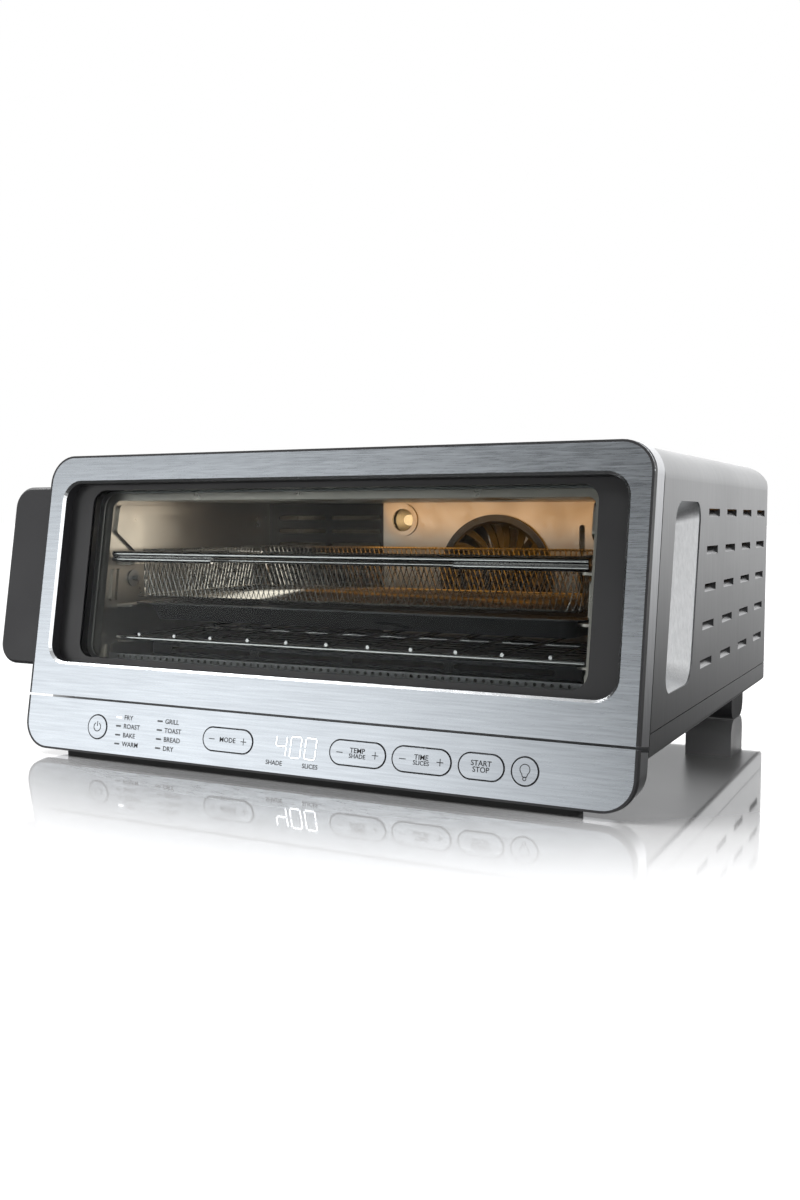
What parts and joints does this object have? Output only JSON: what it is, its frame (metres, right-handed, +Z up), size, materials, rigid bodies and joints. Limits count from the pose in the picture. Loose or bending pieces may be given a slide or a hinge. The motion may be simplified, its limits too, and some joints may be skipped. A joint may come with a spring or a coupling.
{
  "type": "toaster oven",
  "caption": "Low, wide countertop toaster oven with a leaning glass drop-down door, side wing handle, push-button control strip, mesh basket, pan and rack inside.",
  "frame": {"origin": "on the counter, at the middle of the front foot's rest face, below the control strip", "axes": "+X to the right seen from the front, +Y from the front to the rear, +Z up"},
  "size_m": [0.541, 0.466, 0.238],
  "materials": {
    "front_steel": "fine horizontal brushed grain",
    "edge_steel": "satin",
    "shell_steel": "vertical brushed grain",
    "pocket_steel": "satin",
    "black_plastic": "matte",
    "rubber_black": "matte",
    "clear_glass": "polished",
    "cavity_steel": "satin",
    "dark_enamel": "satin",
    "chromed_wire": "polished",
    "mesh_steel": "bright wire",
    "tray_aluminium": "satin",
    "display_black": "gloss",
    "light_white": "lit",
    "ceramic_white": "matte ceramic",
    "heater_sheath": "matte",
    "board_green": "satin",
    "motor_metal": "satin",
    "zinc_sheet": "plain sheet",
    "screw_steel": "satin"
  },
  "bodies": {
    "oven_body": {"control_fascia": "front_steel", "control_housing": "edge_steel", "outer_shell": "shell_steel", "base_pan": "shell_steel", "grip_pocket_right": "pocket_steel", "grip_pocket_left": "pocket_steel", "control_backing": "black_plastic", "cord_gland": "black_plastic", "rear_feet": "black_plastic", "front_foot": "rubber_black", "rear_bumpers": "rubber_black", "door_seal": "rubber_black", "lamp_lens": "clear_glass", "lamp_bulb": "clear_glass", "back_panel": "zinc_sheet", "front_frame": "cavity_steel", "cavity_left_wall": "cavity_steel", "cavity_right_wall": "cavity_steel", "cavity_ceiling": "cavity_steel", "cavity_floor": "cavity_steel", "cavity_rear_wall": "cavity_steel", "rear_baffle": "cavity_steel", "upper_reflector": "cavity_steel", "lamp_housing": "cavity_steel", "temperature_probe": "screw_steel", "fan_guard": "dark_enamel", "duct_grille": "dark_enamel", "element_guard": "dark_enamel", "fan_motor": "motor_metal", "upper_heaters": "heater_sheath", "lower_heaters": "heater_sheath", "heater_bushings": "ceramic_white", "display_module": "display_black", "indicator_lights": "light_white", "control_board": "board_green", "power_board": "board_green", "hinge_brackets": "screw_steel", "back_screws": "screw_steel"},
    "door": {"door_face": "front_steel", "door_backing": "black_plastic", "door_frame": "edge_steel", "door_glass_outer": "clear_glass", "door_glass_spacer": "black_plastic", "door_glass_inner": "clear_glass", "door_inner_panel": "zinc_sheet", "door_handle": "black_plastic", "handle_screws": "screw_steel", "hinge_pins": "screw_steel"},
    "fan": {"fan_rotor": "tray_aluminium"},
    "basket": {"basket_frame": "chromed_wire", "basket_mesh": "mesh_steel"},
    "pan": {"sheet_pan": "dark_enamel"},
    "rack": {"wire_rack": "chromed_wire"},
    "crumb_drawer": {"crumb_tray": "tray_aluminium"},
    "power_button": {"button_power": "front_steel"},
    "light_button": {"button_light": "front_steel"},
    "start_button": {"button_start": "front_steel"},
    "mode_rocker": {"rocker_mode": "front_steel"},
    "temp_rocker": {"rocker_temp": "front_steel"},
    "time_rocker": {"rocker_time": "front_steel"}
  },
  "joints": [
    {"name": "door_hinge", "type": "hinge", "parent": "oven_body", "child": "door", "pos_m": [0, 0.00013, 0.05178], "axis": [1, 0, 0], "range_deg": [0, 99.75]},
    {"name": "fan_spin", "type": "hinge", "parent": "oven_body", "child": "fan", "pos_m": [0.044, 0.3, 0.137], "axis": [0, 1, 0], "continuous": true},
    {"name": "basket_slide", "type": "slide", "parent": "oven_body", "child": "basket", "axis": [0, -1, 0], "range_m": [0, 0.122]},
    {"name": "pan_slide", "type": "slide", "parent": "oven_body", "child": "pan", "axis": [0, -1, 0], "range_m": [0, 0.0871]},
    {"name": "rack_slide", "type": "slide", "parent": "oven_body", "child": "rack", "axis": [0, -1, 0], "range_m": [0, 0.0627]},
    {"name": "crumb_tray_slide", "type": "slide", "parent": "oven_body", "child": "crumb_drawer", "axis": [0, -1, 0], "range_m": [0, 0.0244]},
    {"name": "power_press", "type": "slide", "parent": "oven_body", "child": "power_button", "axis": [0, 0.9856, -0.1693], "range_m": [0, 0.0008], "stiffness_N_per_m": 300},
    {"name": "light_press", "type": "slide", "parent": "oven_body", "child": "light_button", "axis": [0, 0.9856, -0.1693], "range_m": [0, 0.0008], "stiffness_N_per_m": 300},
    {"name": "start_press", "type": "slide", "parent": "oven_body", "child": "start_button", "axis": [0, 0.9856, -0.1693], "range_m": [0, 0.0008], "stiffness_N_per_m": 300},
    {"name": "mode_rock", "type": "hinge", "parent": "oven_body", "child": "mode_rocker", "pos_m": [-0.0536, -0.00522, 0.0248], "axis": [0, 0.1693, 0.9856], "range_deg": [-2, 2], "stiffness_Nm_per_rad": 0.1},
    {"name": "temp_rock", "type": "hinge", "parent": "oven_body", "child": "temp_rocker", "pos_m": [0.0547, -0.00522, 0.0248], "axis": [0, 0.1693, 0.9856], "range_deg": [-2, 2], "stiffness_Nm_per_rad": 0.1},
    {"name": "time_rock", "type": "hinge", "parent": "oven_body", "child": "time_rocker", "pos_m": [0.1036, -0.00522, 0.0248], "axis": [0, 0.1693, 0.9856], "range_deg": [-2, 2], "stiffness_Nm_per_rad": 0.1}
  ],
  "couplings": [
    {"joint": "basket_slide", "follows": "door_hinge", "m_per_rad": 0.07},
    {"joint": "pan_slide", "follows": "door_hinge", "m_per_rad": 0.05},
    {"joint": "rack_slide", "follows": "door_hinge", "m_per_rad": 0.036},
    {"joint": "crumb_tray_slide", "follows": "door_hinge", "m_per_rad": 0.014}
  ]
}
